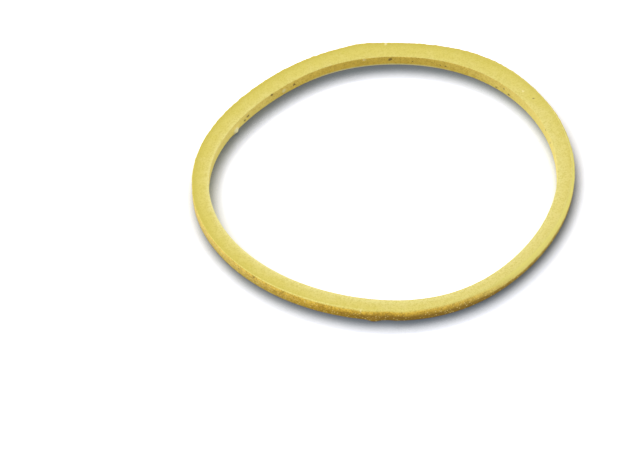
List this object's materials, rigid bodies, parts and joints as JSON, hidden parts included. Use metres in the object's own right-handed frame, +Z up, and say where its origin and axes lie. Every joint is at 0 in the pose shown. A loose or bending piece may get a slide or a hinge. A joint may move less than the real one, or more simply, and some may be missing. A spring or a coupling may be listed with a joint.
{
  "type": "rubber band",
  "caption": "Flat rubber band with a nearly square section, lying slack on a table as a slightly oval closed loop.",
  "frame": {"origin": "on the surface it lies on, under the middle of the loop's footprint", "axes": "+Z up out of the loop's plane, +X along the oval's long way"},
  "size_m": [0.0904, 0.0802, 0.003],
  "materials": {
    "yellow_rubber": "matte, dusted with talc"
  },
  "bodies": {
    "root": {"band": "yellow_rubber"}
  },
  "joints": []
}
